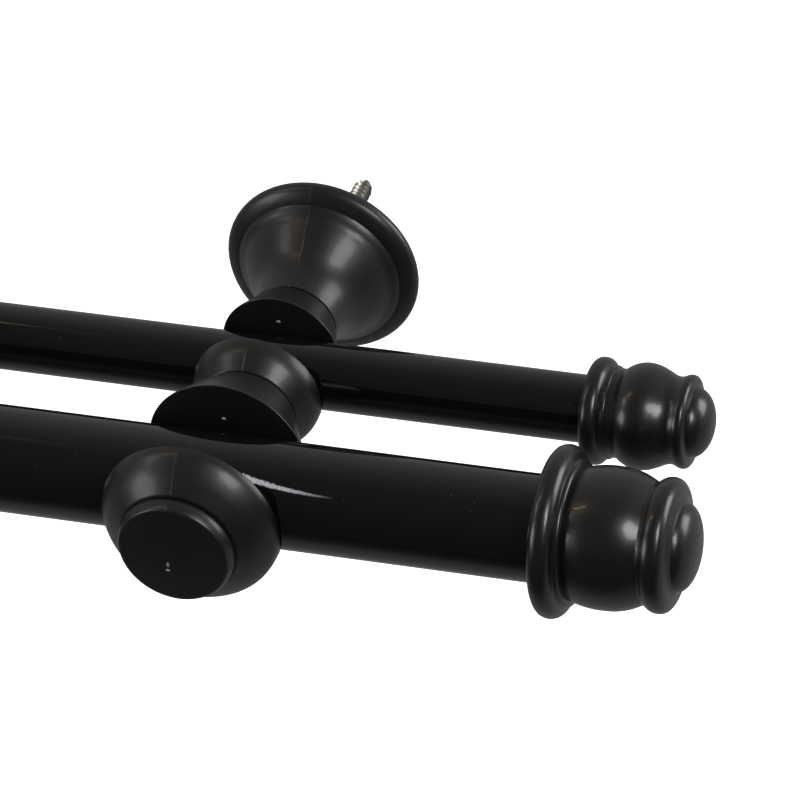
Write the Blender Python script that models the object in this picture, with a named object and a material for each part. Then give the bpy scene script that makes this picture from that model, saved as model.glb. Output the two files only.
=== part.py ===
"""Double curtain rod: two steel tubes in open-topped cups on two turned wall brackets.

Units are metres. +X runs along the rods, -Y points from the wall into the room and +Z is up.
The origin is on the wall, at the centre of the right bracket's back face.
"""

import math

import bmesh
import bpy

for old in list(bpy.data.objects):
    bpy.data.objects.remove(old, do_unlink=True)

# ---------------------------------------------------------------- rods
FRONT_ROD_RADIUS = 0.0125
FRONT_ROD_WALL = 0.0010
REAR_ROD_RADIUS = 0.0080
REAR_ROD_WALL = 0.0008
ROD_LENGTH = 1.200
BRACKET_INSET = 0.080          # from a rod's end to the middle of its bracket
FRONT_ROD_SHIFT = 0.0010       # how far each rod lies to the right of centre in its cups
REAR_ROD_SHIFT = -0.0016

# ---------------------------------------------------------------- bracket, measured from the wall
REAR_ROD_OFFSET = 0.0430       # wall to the rear rod's axis
ROD_SPACING = 0.0440           # rear rod's axis to the front rod's axis
BASE_LENGTH = 0.0243           # wall to the neck joint
FLANGE_RADIUS = 0.0239
STEP_RADIUS = 0.0198           # raised ring inside the flange bead
NECK_RADIUS = 0.0105
REAR_HOLDER_BACK_RADIUS = 0.0144
REAR_HOLDER_DOME_RADIUS = 0.0156
REAR_HOLDER_NOSE = 0.0078      # solid in front of the rear slot
MIDDLE_RADIUS = 0.0120         # joint between the two holders
FRONT_HOLDER_BACK_RADIUS = 0.0194
FRONT_HOLDER_DOME_RADIUS = 0.0211
FRONT_HOLDER_NOSE = 0.0088     # solid in front of the front slot
DOME_END_RADIUS = 0.0134
BUTTON_LENGTH = 0.0043
BUTTON_RADIUS = 0.0137
BUTTON_FACE_RADIUS = 0.0112

# ---------------------------------------------------------------- screws inside the bracket
WALL_THREAD_RADIUS = 0.0025
WALL_THREAD_ROOT_RADIUS = 0.0017
WALL_THREAD_LENGTH = 0.0330
WALL_THREAD_PITCH = 0.0030
MACHINE_THREAD_LENGTH = 0.0150
INSERT_RADIUS = 0.0048
INSERT_LENGTH = 0.0120
STUD_RADIUS = 0.0025
STUD_GRIP = 0.0060             # how far a stud enters a moulding
BUTTON_STUD_GRIP = 0.0020

# ---------------------------------------------------------------- finials
SPIGOT_LENGTH = 0.0200         # plug inside the tube
PLUG_SHANK_LENGTH = 0.0100     # plug inside the finial
PLUG_WALL = 0.0016
FRONT_FINIAL_LENGTH = 0.0354
FRONT_BEAD_RADIUS = 0.0199
FRONT_BALL_RADIUS = 0.01645
FRONT_RING_RADIUS = 0.01555
FRONT_TIP_RADIUS = 0.0103
FRONT_SHANK_RADIUS = 0.0080
REAR_FINIAL_LENGTH = 0.0295
REAR_BEAD_RADIUS = 0.0126
REAR_BALL_RADIUS = 0.0125
REAR_RING_RADIUS = 0.0109
REAR_TIP_RADIUS = 0.0082
REAR_SHANK_RADIUS = 0.0050

# ---------------------------------------------------------------- fits
GAP = 0.0003                   # between pieces that touch
SLOT_CLEARANCE = 0.00035       # rod to cup, on the radius

# ---------------------------------------------------------------- derived
FRONT_ROD_Y = -(REAR_ROD_OFFSET + ROD_SPACING)
REAR_ROD_Y = -REAR_ROD_OFFSET
FRONT_SLOT_HALF = FRONT_ROD_RADIUS + SLOT_CLEARANCE
REAR_SLOT_HALF = REAR_ROD_RADIUS + SLOT_CLEARANCE
MACHINE_BORE_LENGTH = MACHINE_THREAD_LENGTH + 2 * GAP
REAR_HOLDER_START = BASE_LENGTH + GAP
REAR_HOLDER_END = REAR_ROD_OFFSET + REAR_SLOT_HALF + REAR_HOLDER_NOSE
FRONT_HOLDER_START = REAR_HOLDER_END + GAP
FRONT_HOLDER_END = REAR_ROD_OFFSET + ROD_SPACING + FRONT_SLOT_HALF + FRONT_HOLDER_NOSE
BUTTON_START = FRONT_HOLDER_END + GAP
BUTTON_END = BUTTON_START + BUTTON_LENGTH
BRACKET_SPACING = ROD_LENGTH - 2 * BRACKET_INSET
ROD_RIGHT_END = BRACKET_INSET
ROD_LEFT_END = BRACKET_INSET - ROD_LENGTH
BRACKETS = {"right": 0.0, "left": -BRACKET_SPACING}


def material(name, colour, metallic, roughness):
    """A plain Principled material in one colour."""
    made = bpy.data.materials.new(name)
    made.use_nodes = True
    shader = made.node_tree.nodes["Principled BSDF"]
    shader.inputs["Base Color"].default_value = (*colour, 1.0)
    shader.inputs["Metallic"].default_value = metallic
    shader.inputs["Roughness"].default_value = roughness
    made.diffuse_color = (*colour, 1.0)
    return made


LACQUER = (0.012, 0.012, 0.013)
MOULDED = (0.020, 0.020, 0.021)
FINIAL = (0.016, 0.016, 0.017)
ZINC = (0.62, 0.60, 0.55)
NYLON = (0.35, 0.35, 0.34)


def add_object(name, mesh, look):
    """One named object with its own material."""
    mesh.materials.append(material(name + "_material", *look))
    item = bpy.data.objects.new(name, mesh)
    bpy.context.scene.collection.objects.link(item)
    return item


def turned(name, profile, axis, origin, look, segments):
    """A solid of revolution about X or Y through origin.

    profile lists (distance along the axis, radius) from pole to pole, or as a closed loop when
    neither end lies on the axis. axis is "+X", "-X" or "-Y", the way the distances run.
    """
    closed_loop = profile[0][1] > 0.0
    sign = -1.0 if axis[0] == "-" else 1.0
    shape = bmesh.new()
    rings = []
    for along, radius in profile:
        ring = []
        count = segments if radius > 0.0 else 1
        for step in range(count):
            angle = 2.0 * math.pi * (step + 0.5) / segments
            first = radius * math.cos(angle)
            second = radius * math.sin(angle)
            if axis[1] == "X":
                place = (origin[0] + sign * along, origin[1] + first, origin[2] + second)
            else:
                place = (origin[0] + first, origin[1] + sign * along, origin[2] + second)
            ring.append(shape.verts.new(place))
        rings.append(ring)
    pairs = list(zip(rings[:-1], rings[1:]))
    if closed_loop:
        pairs.append((rings[-1], rings[0]))
    for one, two in pairs:
        for step in range(segments):
            after = (step + 1) % segments
            if len(one) == 1:
                corners = (one[0], two[after], two[step])
            elif len(two) == 1:
                corners = (one[step], one[after], two[0])
            else:
                corners = (one[step], one[after], two[after], two[step])
            shape.faces.new(corners)
    bmesh.ops.recalc_face_normals(shape, faces=shape.faces)
    if shape.calc_volume(signed=True) < 0.0:
        bmesh.ops.reverse_faces(shape, faces=shape.faces)
    mesh = bpy.data.meshes.new(name)
    shape.to_mesh(mesh)
    shape.free()
    for face in mesh.polygons:
        face.use_smooth = True
    mesh.set_sharp_from_angle(angle=math.radians(38.0))
    return add_object(name, mesh, look)


def slot_cutter(name, x, y, half_width, reach):
    """A U-shaped bar along X: half round below the rod's axis, straight walls above it."""
    outline = []
    steps = 20
    for step in range(steps + 1):
        angle = math.pi + math.pi * step / steps
        outline.append((y + half_width * math.cos(angle), half_width * math.sin(angle)))
    outline.append((y + half_width, reach))
    outline.append((y - half_width, reach))
    shape = bmesh.new()
    ends = []
    for side in (-1.0, 1.0):
        ends.append([shape.verts.new((x + side * reach, across, up)) for across, up in outline])
    count = len(outline)
    for step in range(count):
        after = (step + 1) % count
        shape.faces.new((ends[0][step], ends[0][after], ends[1][after], ends[1][step]))
    shape.faces.new(ends[0])
    shape.faces.new(list(reversed(ends[1])))
    bmesh.ops.recalc_face_normals(shape, faces=shape.faces)
    mesh = bpy.data.meshes.new(name)
    shape.to_mesh(mesh)
    shape.free()
    cutter = bpy.data.objects.new(name, mesh)
    bpy.context.scene.collection.objects.link(cutter)
    cutter.hide_render = True
    cutter.display_type = "WIRE"
    return cutter


def cut(item, cutter):
    """Takes the cutter's shape out of the item, as a live Boolean."""
    boolean = item.modifiers.new("rod slot", "BOOLEAN")
    boolean.operation = "DIFFERENCE"
    boolean.solver = "EXACT"
    boolean.object = cutter


def tube(name, y, radius, wall, shift, look):
    """A straight open tube that runs from a rod's left end to its right end."""
    inner = radius - wall
    loop = [(0.0, inner), (0.0, radius), (ROD_LENGTH, radius), (ROD_LENGTH, inner)]
    turned(name, loop, "+X", (ROD_LEFT_END + shift, y, 0.0), look, 40)


# ---------------------------------------------------------------- the two rods
tube("front_rod_tube", FRONT_ROD_Y, FRONT_ROD_RADIUS, FRONT_ROD_WALL, FRONT_ROD_SHIFT, (LACQUER, 0.0, 0.12))
tube("rear_rod_tube", REAR_ROD_Y, REAR_ROD_RADIUS, REAR_ROD_WALL, REAR_ROD_SHIFT, (LACQUER, 0.0, 0.12))


# ---------------------------------------------------------------- finials and their plugs
def finial_profile(length, bead, ball, ring, tip, shank):
    """Bead, step ring, ball, groove, ring and button, with a blind socket in the back."""
    bead_half = 0.14 * bead
    socket = shank + GAP
    depth = PLUG_SHANK_LENGTH + GAP
    ball_start = 2.0 * bead_half + 0.0016
    ring_face = 0.845 * length
    groove = 0.67 * length
    mid = 0.5 * (ball_start + groove)
    return [
        (depth, 0.0),
        (depth, socket),
        (0.0, socket),
        (0.0, bead - 1.15 * bead_half),
        (0.35 * bead_half, bead - 0.32 * bead_half),
        (bead_half, bead),
        (1.65 * bead_half, bead - 0.32 * bead_half),
        (2.0 * bead_half, bead - 1.05 * bead_half),
        (2.0 * bead_half + 0.0010, bead - 1.20 * bead_half),
        (ball_start, 0.90 * ball),
        (0.55 * ball_start + 0.45 * mid, 0.972 * ball),
        (mid, ball),
        (0.45 * mid + 0.55 * groove, 0.96 * ball),
        (groove, 0.5 * (ball + ring) * 0.875),
        (groove + 0.28 * (ring_face - groove), 0.93 * ring),
        (groove + 0.62 * (ring_face - groove), ring),
        (ring_face - 0.0009, 0.985 * ring),
        (ring_face, 0.90 * ring),
        (ring_face + 0.0003, tip),
        (0.90 * length + 0.0002, 0.92 * tip),
        (0.97 * length, 0.58 * tip),
        (length, 0.0),
    ]


def plug_profile(bore, shank):
    """A cup open towards the tube, with a shank that enters the finial."""
    spigot = bore - GAP
    return [
        (-SPIGOT_LENGTH, spigot - PLUG_WALL),
        (-SPIGOT_LENGTH, spigot - 0.0006),
        (-SPIGOT_LENGTH + 0.0012, spigot),
        (0.0, spigot),
        (0.0, shank),
        (PLUG_SHANK_LENGTH, shank),
        (PLUG_SHANK_LENGTH, shank - PLUG_WALL),
        (-0.0020, shank - PLUG_WALL),
        (-0.0020, spigot - PLUG_WALL),
    ]


FINIALS = {
    "front": (
        FRONT_ROD_SHIFT,
        FRONT_ROD_Y,
        FRONT_ROD_RADIUS - FRONT_ROD_WALL,
        FRONT_SHANK_RADIUS,
        (FRONT_FINIAL_LENGTH, FRONT_BEAD_RADIUS, FRONT_BALL_RADIUS, FRONT_RING_RADIUS, FRONT_TIP_RADIUS),
    ),
    "rear": (
        REAR_ROD_SHIFT,
        REAR_ROD_Y,
        REAR_ROD_RADIUS - REAR_ROD_WALL,
        REAR_SHANK_RADIUS,
        (REAR_FINIAL_LENGTH, REAR_BEAD_RADIUS, REAR_BALL_RADIUS, REAR_RING_RADIUS, REAR_TIP_RADIUS),
    ),
}

for row, (shift, rod_y, bore, shank, sizes) in FINIALS.items():
    ends = (("right", ROD_RIGHT_END + shift, "+X"), ("left", ROD_LEFT_END + shift, "-X"))
    for side, end_x, axis in ends:
        out = 1.0 if axis == "+X" else -1.0
        turned(
            f"{row}_finial_{side}",
            finial_profile(*sizes, shank),
            axis,
            (end_x + out * GAP, rod_y, 0.0),
            (FINIAL, 0.0, 0.22),
            30,
        )
        turned(
            f"{row}_finial_plug_{side}",
            plug_profile(bore, shank),
            axis,
            (end_x, rod_y, 0.0),
            (NYLON, 0.0, 0.55),
            16,
        )


# ---------------------------------------------------------------- the brackets
def base_profile():
    """Wall flange with a bead, a raised ring and a trumpet that narrows to the neck."""
    socket = INSERT_RADIUS + GAP
    stud = STUD_RADIUS + GAP
    return [
        (MACHINE_BORE_LENGTH, 0.0),
        (MACHINE_BORE_LENGTH, WALL_THREAD_RADIUS + GAP),
        (INSERT_LENGTH + 2 * GAP, WALL_THREAD_RADIUS + GAP),
        (INSERT_LENGTH + 2 * GAP, socket),
        (0.0, socket),
        (0.0, FLANGE_RADIUS - 0.0009),
        (0.0009, FLANGE_RADIUS - 0.0001),
        (0.0021, FLANGE_RADIUS),
        (0.0034, FLANGE_RADIUS - 0.0010),
        (0.0048, STEP_RADIUS + 0.0014),
        (0.0056, STEP_RADIUS),
        (0.0061, STEP_RADIUS - 0.0009),
        (0.0086, STEP_RADIUS - 0.0024),
        (0.0116, STEP_RADIUS - 0.0047),
        (0.0152, NECK_RADIUS + 0.0023),
        (0.0195, NECK_RADIUS + 0.0006),
        (BASE_LENGTH - 0.0004, NECK_RADIUS),
        (BASE_LENGTH, NECK_RADIUS - 0.0004),
        (BASE_LENGTH, stud),
        (BASE_LENGTH - STUD_GRIP + GAP, stud),
        (BASE_LENGTH - STUD_GRIP + GAP, 0.0),
    ]


def rear_holder_profile():
    """Flare, plain middle where the rear slot is cut, and a dome that narrows to the crease."""
    stud = STUD_RADIUS + GAP
    back = REAR_ROD_OFFSET - REAR_SLOT_HALF
    front = REAR_ROD_OFFSET + REAR_SLOT_HALF
    start = REAR_HOLDER_START
    end = REAR_HOLDER_END
    return [
        (start + STUD_GRIP, 0.0),
        (start + STUD_GRIP, stud),
        (start, stud),
        (start, NECK_RADIUS - 0.0004),
        (start + 0.0004, NECK_RADIUS),
        (start + 0.0020, NECK_RADIUS + 0.0016),
        (start + 0.0050, NECK_RADIUS + 0.0030),
        (back - 0.0010, REAR_HOLDER_BACK_RADIUS),
        (REAR_ROD_OFFSET, 0.5 * (REAR_HOLDER_BACK_RADIUS + REAR_HOLDER_DOME_RADIUS)),
        (front + 0.0006, REAR_HOLDER_DOME_RADIUS),
        (front + 0.38 * REAR_HOLDER_NOSE, 0.965 * REAR_HOLDER_DOME_RADIUS),
        (front + 0.70 * REAR_HOLDER_NOSE, 0.875 * REAR_HOLDER_DOME_RADIUS),
        (end - 0.0003, MIDDLE_RADIUS),
        (end, MIDDLE_RADIUS - 0.0004),
        (end, stud),
        (end - 0.5 * REAR_HOLDER_NOSE, stud),
        (end - 0.5 * REAR_HOLDER_NOSE, 0.0),
    ]


def front_holder_profile():
    """The same shape one size larger, around the front slot."""
    stud = STUD_RADIUS + GAP
    middle = REAR_ROD_OFFSET + ROD_SPACING
    back = middle - FRONT_SLOT_HALF
    front = middle + FRONT_SLOT_HALF
    start = FRONT_HOLDER_START
    end = FRONT_HOLDER_END
    return [
        (start + STUD_GRIP, 0.0),
        (start + STUD_GRIP, stud),
        (start, stud),
        (start, MIDDLE_RADIUS - 0.0004),
        (start + 0.0004, MIDDLE_RADIUS),
        (start + 0.0030, MIDDLE_RADIUS + 0.0022),
        (start + 0.0072, MIDDLE_RADIUS + 0.0054),
        (back - 0.0012, FRONT_HOLDER_BACK_RADIUS),
        (middle, 0.5 * (FRONT_HOLDER_BACK_RADIUS + FRONT_HOLDER_DOME_RADIUS)),
        (front + 0.0006, FRONT_HOLDER_DOME_RADIUS),
        (front + 0.36 * FRONT_HOLDER_NOSE, 0.955 * FRONT_HOLDER_DOME_RADIUS),
        (front + 0.68 * FRONT_HOLDER_NOSE, 0.83 * FRONT_HOLDER_DOME_RADIUS),
        (end - 0.0003, DOME_END_RADIUS),
        (end, DOME_END_RADIUS - 0.0004),
        (end, stud),
        (end - 0.6 * FRONT_HOLDER_NOSE, stud),
        (end - 0.6 * FRONT_HOLDER_NOSE, 0.0),
    ]


def button_profile():
    """A low round button with a flat face."""
    stud = STUD_RADIUS + GAP
    return [
        (BUTTON_START + BUTTON_STUD_GRIP, 0.0),
        (BUTTON_START + BUTTON_STUD_GRIP, stud),
        (BUTTON_START, stud),
        (BUTTON_START, DOME_END_RADIUS - 0.0005),
        (BUTTON_START + 0.0010, BUTTON_RADIUS),
        (BUTTON_START + 0.55 * BUTTON_LENGTH, BUTTON_RADIUS - 0.0001),
        (BUTTON_END - 0.0006, 0.5 * (BUTTON_RADIUS + BUTTON_FACE_RADIUS) + 0.0002),
        (BUTTON_END, BUTTON_FACE_RADIUS),
        (BUTTON_END, 0.0),
    ]


def hanger_bolt_profile():
    """Gimlet-pointed wood thread behind the wall face, machine-threaded shank in front of it."""
    profile = [(-WALL_THREAD_LENGTH, 0.0), (-WALL_THREAD_LENGTH + 0.0008, 0.0007)]
    turns = int((WALL_THREAD_LENGTH - 0.0060) / WALL_THREAD_PITCH)
    for turn in range(turns):
        start = -WALL_THREAD_LENGTH + 0.0016 + turn * WALL_THREAD_PITCH
        size = min(1.0, 0.62 + 0.13 * turn)
        profile.append((start, WALL_THREAD_ROOT_RADIUS * size))
        profile.append((start + 0.55 * WALL_THREAD_PITCH, WALL_THREAD_RADIUS * size))
    profile.append((-0.0040, WALL_THREAD_ROOT_RADIUS))
    profile.append((-0.0030, WALL_THREAD_RADIUS))
    profile.append((MACHINE_THREAD_LENGTH - 0.0006, WALL_THREAD_RADIUS))
    profile.append((MACHINE_THREAD_LENGTH, WALL_THREAD_RADIUS - 0.0006))
    profile.append((MACHINE_THREAD_LENGTH, 0.0))
    return profile


def insert_profile():
    """Threaded bush pressed into the back of the base."""
    inner = WALL_THREAD_RADIUS + GAP
    return [
        (GAP, inner),
        (GAP, INSERT_RADIUS - 0.0003),
        (GAP + 0.0003, INSERT_RADIUS),
        (GAP + INSERT_LENGTH - 0.0003, INSERT_RADIUS),
        (GAP + INSERT_LENGTH, INSERT_RADIUS - 0.0003),
        (GAP + INSERT_LENGTH, inner),
    ]


def stud_profile(start, end):
    """A plain stud with chamfered ends."""
    return [
        (start, 0.0),
        (start, STUD_RADIUS - 0.0004),
        (start + 0.0004, STUD_RADIUS),
        (end - 0.0004, STUD_RADIUS),
        (end, STUD_RADIUS - 0.0004),
        (end, 0.0),
    ]


STEEL = (ZINC, 1.0, 0.35)
SATIN = (MOULDED, 0.0, 0.38)

for side, x in BRACKETS.items():
    centre = (x, 0.0, 0.0)
    turned(f"{side}_base", base_profile(), "-Y", centre, SATIN, 36)
    rear_holder = turned(f"{side}_rear_holder", rear_holder_profile(), "-Y", centre, SATIN, 32)
    front_holder = turned(f"{side}_front_holder", front_holder_profile(), "-Y", centre, SATIN, 32)
    turned(f"{side}_end_button", button_profile(), "-Y", centre, SATIN, 32)
    turned(f"{side}_hanger_bolt", hanger_bolt_profile(), "-Y", centre, STEEL, 14)
    turned(f"{side}_base_insert", insert_profile(), "-Y", centre, STEEL, 16)
    studs = {
        "neck": (BASE_LENGTH - STUD_GRIP + 2 * GAP, REAR_HOLDER_START + STUD_GRIP - GAP),
        "middle": (REAR_HOLDER_END - 0.5 * REAR_HOLDER_NOSE + GAP, FRONT_HOLDER_START + STUD_GRIP - GAP),
        "end": (FRONT_HOLDER_END - 0.6 * FRONT_HOLDER_NOSE + GAP, BUTTON_START + BUTTON_STUD_GRIP - GAP),
    }
    for place, (start, end) in studs.items():
        turned(f"{side}_{place}_stud", stud_profile(start, end), "-Y", centre, STEEL, 12)
    rear_cut = slot_cutter(f"{side}_rear_slot", x, REAR_ROD_Y, REAR_SLOT_HALF, 2.0 * REAR_HOLDER_DOME_RADIUS)
    front_cut = slot_cutter(f"{side}_front_slot", x, FRONT_ROD_Y, FRONT_SLOT_HALF, 2.0 * FRONT_HOLDER_DOME_RADIUS)
    cut(rear_holder, rear_cut)
    cut(front_holder, front_cut)
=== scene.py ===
# %% [markdown]
# # A double curtain rod on turned wall brackets
# Two black steel tubes lie in open-topped cups on two turned brackets. The thick tube is the
# front rod, for the heavy curtain, and the thin one is the rear rod, for the net. Each end is
# closed by a turned-looking moulded finial, and a hanger bolt holds each bracket to the wall.
# This lesson builds the smooth, finished pieces around a fixed engineering model. That model
# says where everything is, so the first step is to load it and remember its size.

# %% Load the fixed frame
import math

import bmesh
import bpy
from mathutils import Matrix, Vector


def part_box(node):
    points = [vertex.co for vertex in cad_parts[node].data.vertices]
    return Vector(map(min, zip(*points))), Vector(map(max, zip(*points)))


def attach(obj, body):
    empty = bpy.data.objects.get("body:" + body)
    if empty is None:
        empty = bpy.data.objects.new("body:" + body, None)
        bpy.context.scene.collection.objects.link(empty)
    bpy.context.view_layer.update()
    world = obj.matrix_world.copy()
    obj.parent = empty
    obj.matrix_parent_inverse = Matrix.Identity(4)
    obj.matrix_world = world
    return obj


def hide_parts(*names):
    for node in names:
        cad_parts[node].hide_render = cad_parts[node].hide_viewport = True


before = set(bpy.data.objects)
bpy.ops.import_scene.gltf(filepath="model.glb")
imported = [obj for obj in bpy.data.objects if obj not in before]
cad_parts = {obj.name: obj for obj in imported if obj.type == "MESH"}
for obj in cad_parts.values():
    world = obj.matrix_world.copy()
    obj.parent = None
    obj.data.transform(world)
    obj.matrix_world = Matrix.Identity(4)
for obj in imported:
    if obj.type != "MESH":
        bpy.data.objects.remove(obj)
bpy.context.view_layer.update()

MM = 0.001

# %% [markdown]
# ## Where things are
# Every place is read from the engineering model, so nothing has to be fitted by eye. A tube's
# box gives its axis, its radius and its two ends. A bracket's box gives the line it is turned
# about. +X runs along the rods, -Y points into the room and +Z is up.

# %% Read the places
def box_centre(node):
    """The middle of a node's box."""
    low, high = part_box(node)
    return (low + high) / 2


RODS = {}
for row in ("front", "rear"):
    low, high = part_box(f"{row}_rod_tube")
    RODS[row] = {
        "left": low.x,
        "right": high.x,
        "y": (low.y + high.y) / 2,
        "radius": (high.z - low.z) / 2,
    }
    print(row, "rod in mm:", {k: round(v / MM, 2) for k, v in RODS[row].items()})

BRACKET_X = {side: box_centre(f"{side}_end_button").x for side in ("right", "left")}
BRACKET_X = {side: round(x, 5) for side, x in BRACKET_X.items()}
print("brackets at x =", BRACKET_X)

# %% [markdown]
# ## The camera
# A long lens from a little over a metre away flattens the perspective. The camera stands to the
# right of the bracket and above it, and it is tipped a few degrees, so the rods run downhill
# across the view. The three directions of the camera (right, up and back) are worked out from
# those angles and become the columns of its matrix.

# %% Make the camera
def put_in_scene(name, data):
    """An object with this data, linked into the scene."""
    made = bpy.data.objects.new(name, data)
    bpy.context.scene.collection.objects.link(made)
    return made


def make_camera():
    """A camera from its angles round the object, its roll and its offset in its own axes."""
    turn, rise, roll = 0.3715, 0.6615, -0.1093
    level = math.cos(rise)
    back = Vector((math.sin(turn) * level, -math.cos(turn) * level, math.sin(rise)))
    right = Vector((math.cos(turn), math.sin(turn), 0.0))
    up = back.cross(right)
    tipped_right = math.cos(roll) * right + math.sin(roll) * up
    tipped_up = -math.sin(roll) * right + math.cos(roll) * up
    aim = Vector((0.0, RODS["front"]["y"], 0.0))
    across, height, distance = 0.0438422, 0.0195362, 1.3689552
    place = aim + across * tipped_right + height * tipped_up + distance * back
    data = bpy.data.cameras.new("camera")
    data.lens = 268.56
    data.sensor_width = 36.0
    camera = put_in_scene("camera", data)
    turned_axes = Matrix((tipped_right, tipped_up, back)).transposed().to_4x4()
    camera.matrix_world = Matrix.Translation(place) @ turned_axes
    bpy.context.scene.camera = camera
    return camera


camera = make_camera()
print("camera at", tuple(round(v, 3) for v in camera.matrix_world.translation))

# %% [markdown]
# ## Tables of nodes, and colours
# One small function adds a node, sets its properties and fills its inputs with numbers or with
# links. A node tree is then a table, read from top to bottom: every row gives a node a name and
# says its kind and what goes into it, and later rows use that name. "parts.X" means the output
# X of the node called parts, and a kind such as ADD is a Math node that does this sum. Colours
# are written as a designer's hex values, and one function turns them to the linear values that
# the renderer works in.

# %% Helpers for nodes and colours
NOISE, RANGE, MIX = "ShaderNodeTexNoise", "ShaderNodeMapRange", "ShaderNodeMix"
BUMP, MAPPING, SHADER = "ShaderNodeBump", "ShaderNodeMapping", "ShaderNodeBsdfPrincipled"
RGBA = {"data_type": "RGBA"}


def add_node(tree, kind, links=None, **settings):
    """Adds one node. links maps an input to a value, to a socket or to a whole node."""
    node = tree.nodes.new(kind)
    for name, value in settings.items():
        setattr(node, name, value)
    for key, value in (links or {}).items():
        if isinstance(value, bpy.types.Node):
            value = next(output for output in value.outputs if output.enabled)
        if isinstance(value, bpy.types.NodeSocket):
            tree.links.new(value, node.inputs[key])
        else:
            node.inputs[key].default_value = value
    return node


def add_table(tree, rows, known):
    """Adds a node for every row (name, kind, links, settings) and gives all of them by name."""
    for name, kind, links, *settings in rows:
        links = {key: known.get(value, value) for key, value in links.items()}
        if kind.isupper():
            kind, settings = "ShaderNodeMath", [{"operation": kind}]
        known[name] = add_node(tree, kind, links, **(settings[0] if settings else {}))
        known.update({f"{name}.{output.name}": output for output in known[name].outputs})
    return known


def blotches(width_mm, detail, roughness=0.55):
    """What goes into a noise whose blotches are about this wide."""
    return {"Scale": 1.0 / (width_mm * MM), "Detail": detail, "Roughness": roughness}


def linear(hex_colour):
    """An sRGB hex colour as linear RGBA."""
    values = [int(hex_colour[i : i + 2], 16) / 255 for i in (1, 3, 5)]
    return (*(v / 12.92 if v <= 0.04045 else ((v + 0.055) / 1.055) ** 2.4 for v in values), 1.0)


def new_material(name, rows):
    """A material from its table, which starts from place and ends with shader."""
    made = bpy.data.materials.new(name)
    made.use_nodes = True
    tree = made.node_tree
    tree.nodes.clear()
    place = add_node(tree, "ShaderNodeTexCoord").outputs["Object"]
    found = add_table(tree, rows, {"place": place})
    add_node(tree, "ShaderNodeOutputMaterial", {"Surface": found["shader"]})
    print("material:", name, "with", len(tree.nodes), "nodes")
    return made


# %% [markdown]
# ## Moulded black plastic
# The brackets and finials are injection moulded in a black styrene plastic. Its colour is dark
# through and through, so all the light that reaches the eye is shine: a broad soft gleam from
# the fine texture of the mould, and a faint sharp one from the thin skin of smooth plastic on
# top. That is why the shader has a rough base layer and a weak smooth coat. Handling leaves
# slightly greasy and slightly dull areas, so the roughness wanders by a few hundredths.
# Hairline scratches run round the turned shapes, so their pattern is squeezed along Y.

# %% Materials of the mouldings
def moulded_plastic(name, tones, roughness, coat, coat_roughness, texture_mm, scratches):
    """Black moulded styrene: mottled colour, uneven satin, fine mould texture and hairlines."""
    low, high = roughness - 0.05, roughness + 0.05
    return new_material(name, [
        ("handled", NOISE, {"Vector": "place", **blotches(9.0, 4.0)}),
        ("grain", NOISE, {"Vector": "place", **blotches(texture_mm, 2.0)}),
        ("squeezed", MAPPING, {"Vector": "place", "Scale": (0.35, 3.0, 0.35)}),
        ("hairlines", NOISE, {"Vector": "squeezed", **blotches(0.55, 6.0, 0.7)}),
        ("share", RANGE, {"Value": "handled", "To Min": 0.0, "To Max": 0.6}),
        ("colour", MIX, {"Factor": "share", 6: linear(tones[0]), 7: linear(tones[1])}, RGBA),
        ("satin", RANGE, {"Value": "handled", "To Min": low, "To Max": high}),
        ("dulled", RANGE, {"Value": "hairlines", "To Min": -0.03, "To Max": 0.03}),
        ("uneven", "ADD", {0: "satin", 1: "dulled"}),
        ("fine", BUMP, {"Height": "grain", "Strength": 0.12, "Distance": 0.00002}),
        ("scratched", BUMP,
         {"Height": "hairlines", "Strength": scratches, "Distance": 0.00002, "Normal": "fine"}),
        ("shader", SHADER,
         {"Base Color": "colour", "Roughness": "uneven", "Normal": "scratched", "IOR": 1.5,
          "Coat Weight": coat, "Coat Roughness": coat_roughness}),
    ])


satin_moulding = moulded_plastic(
    "satin_moulded_styrene_black", ("#0F0F10", "#181716"), 0.38, 0.09, 0.10, 0.35, 0.12
)
gloss_moulding = moulded_plastic(
    "polished_moulded_styrene_black", ("#0F0F10", "#141312"), 0.31, 0.18, 0.055, 0.45, 0.06
)
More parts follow.
